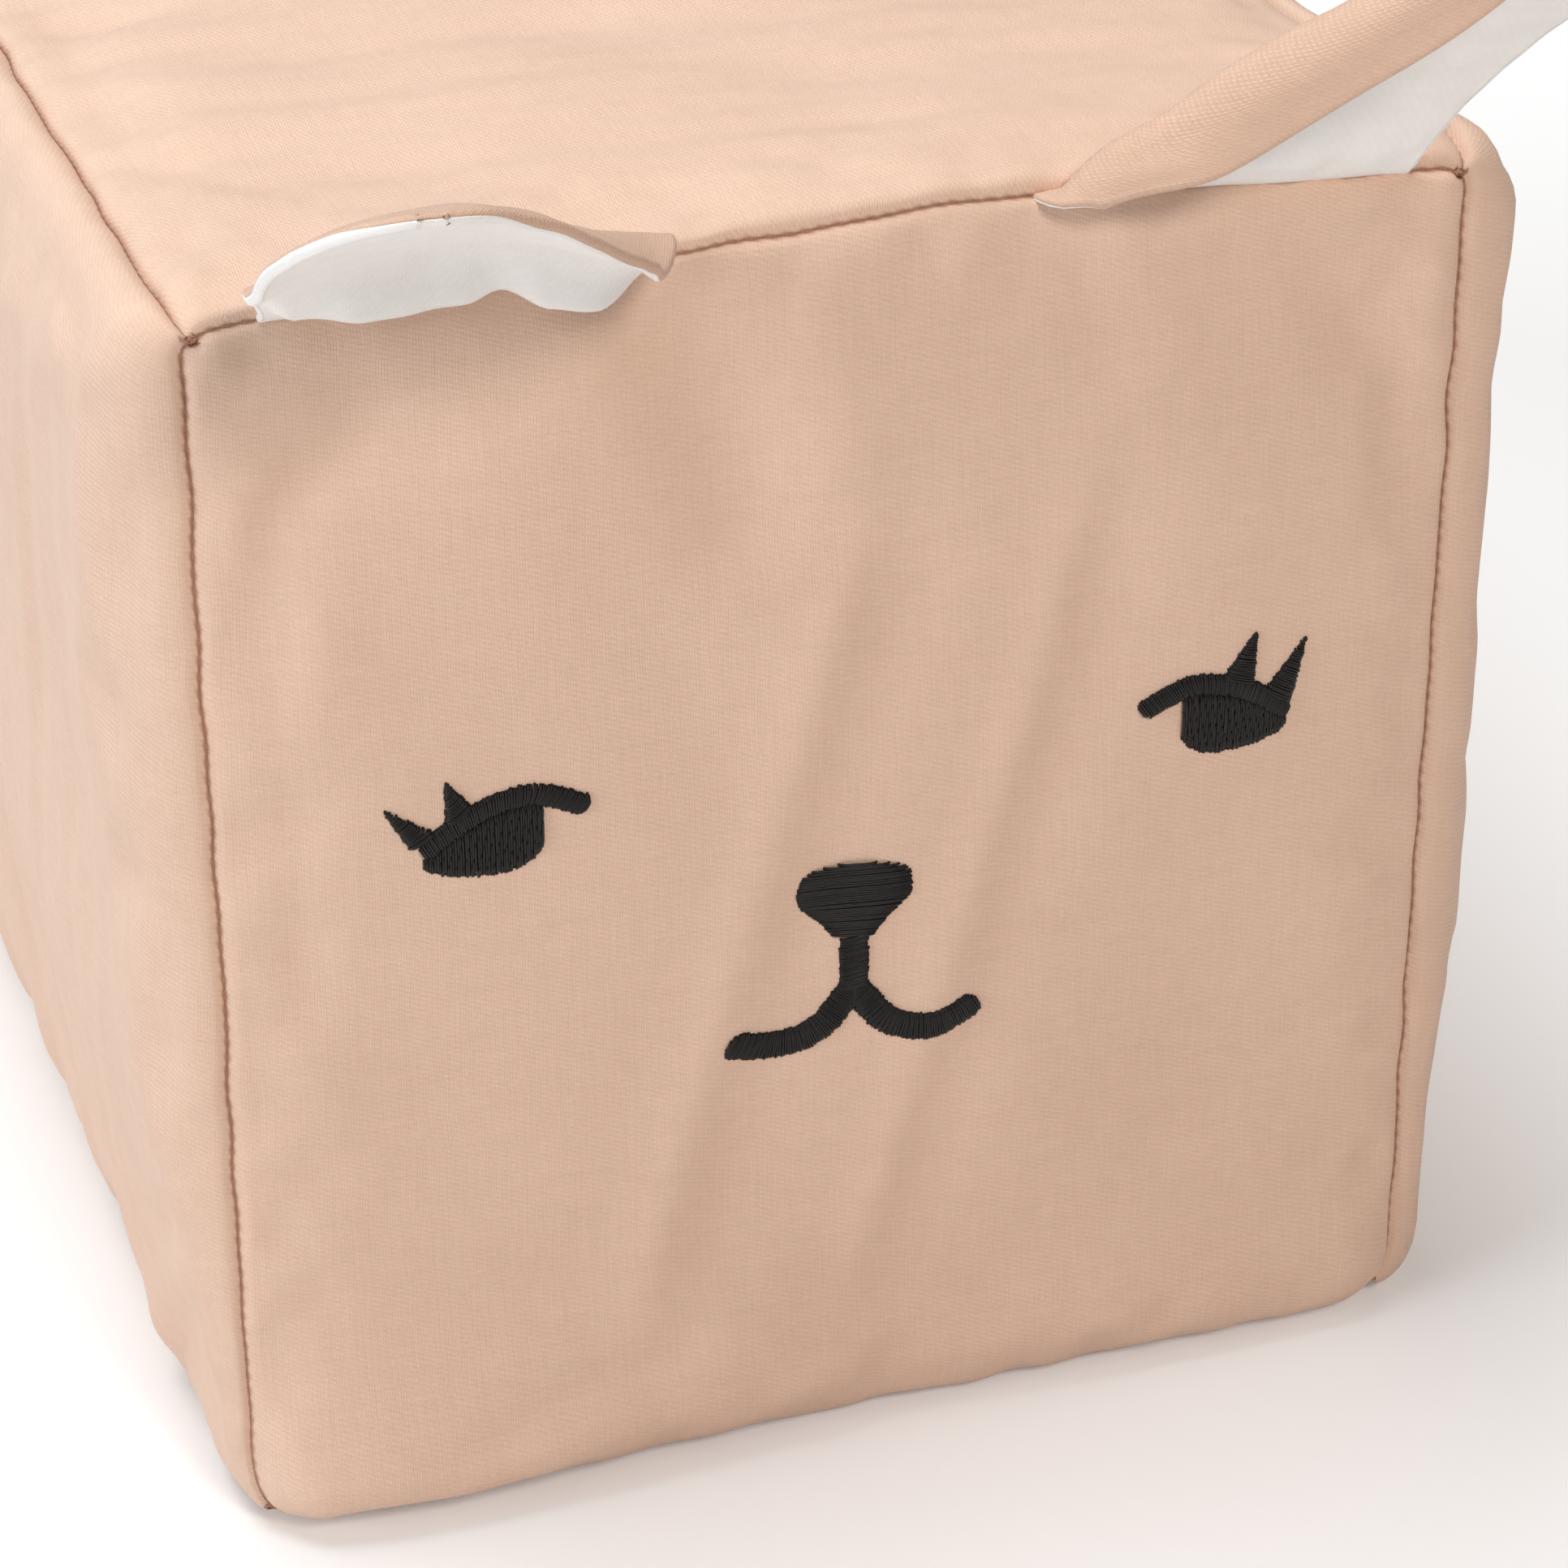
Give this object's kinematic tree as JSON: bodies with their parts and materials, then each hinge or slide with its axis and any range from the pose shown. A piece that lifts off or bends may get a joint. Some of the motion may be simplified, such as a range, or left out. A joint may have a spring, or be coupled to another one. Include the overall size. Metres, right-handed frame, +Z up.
{
  "type": "soft fabric block with animal face",
  "caption": "Foam toy block in a sewn, zipped cotton cover with an embroidered sleepy animal face and floppy ears.",
  "frame": {"origin": "middle of the flat face that the block rests on", "axes": "+Z up, -Y out of the embroidered face, +X to the right of someone who looks at the face"},
  "size_m": [0.2022, 0.3493, 0.2394],
  "materials": {
    "peach_cotton": "matt cotton twill",
    "ear_cotton": "matt cotton twill",
    "white_cotton": "matt plain cotton",
    "black_thread": "satin-stitched embroidery thread",
    "foam": "open-cell foam",
    "wadding": "polyester wadding",
    "zip_tape": "woven tape",
    "zip_teeth": "satin",
    "zip_metal": "satin"
  },
  "bodies": {
    "block": {"foam_core": "foam", "front_panel": "peach_cotton", "back_upper_panel": "peach_cotton", "back_lower_panel": "peach_cotton", "left_side_panel": "peach_cotton", "right_side_panel": "peach_cotton", "top_panel": "peach_cotton", "base_panel": "peach_cotton", "left_eye": "black_thread", "left_eyelid": "black_thread", "left_inner_lash": "black_thread", "left_outer_lash": "black_thread", "right_eye": "black_thread", "right_eyelid": "black_thread", "right_inner_lash": "black_thread", "right_outer_lash": "black_thread", "nose": "black_thread", "mouth_stem": "black_thread", "mouth_left": "black_thread", "mouth_right": "black_thread", "zip_upper_tape": "zip_tape", "zip_lower_tape": "zip_tape", "zip_upper_teeth": "zip_teeth", "zip_lower_teeth": "zip_teeth", "zip_open_stop": "zip_metal", "zip_closed_stop": "zip_metal"},
    "left_ear": {"left_ear_outer": "ear_cotton", "left_ear_wadding": "wadding", "left_ear_lining": "white_cotton"},
    "right_ear": {"right_ear_outer": "ear_cotton", "right_ear_wadding": "wadding", "right_ear_lining": "white_cotton"},
    "zip_slider": {"zip_slider": "zip_metal"},
    "zip_pull": {"zip_pull": "zip_metal"}
  },
  "joints": [
    {"name": "left_ear_flop", "type": "hinge", "parent": "block", "child": "left_ear", "pos_m": [-0.0535, -0.14363, 0.18813], "axis": [-1, 0, 0], "range_deg": [-40, 54], "stiffness_Nm_per_rad": 0.02},
    {"name": "right_ear_flop", "type": "hinge", "parent": "block", "child": "right_ear", "pos_m": [0.0535, -0.14363, 0.18813], "axis": [-1, 0, 0], "range_deg": [-45, 46], "stiffness_Nm_per_rad": 0.02},
    {"name": "zip_slide", "type": "slide", "parent": "block", "child": "zip_slider", "axis": [-1, 0, 0], "range_m": [0, 0.132]},
    {"name": "zip_pull_flip", "type": "hinge", "parent": "zip_slider", "child": "zip_pull", "pos_m": [0.066, 0.1494, 0.03], "axis": [0, 0, -1], "range_deg": [0, 180]}
  ]
}
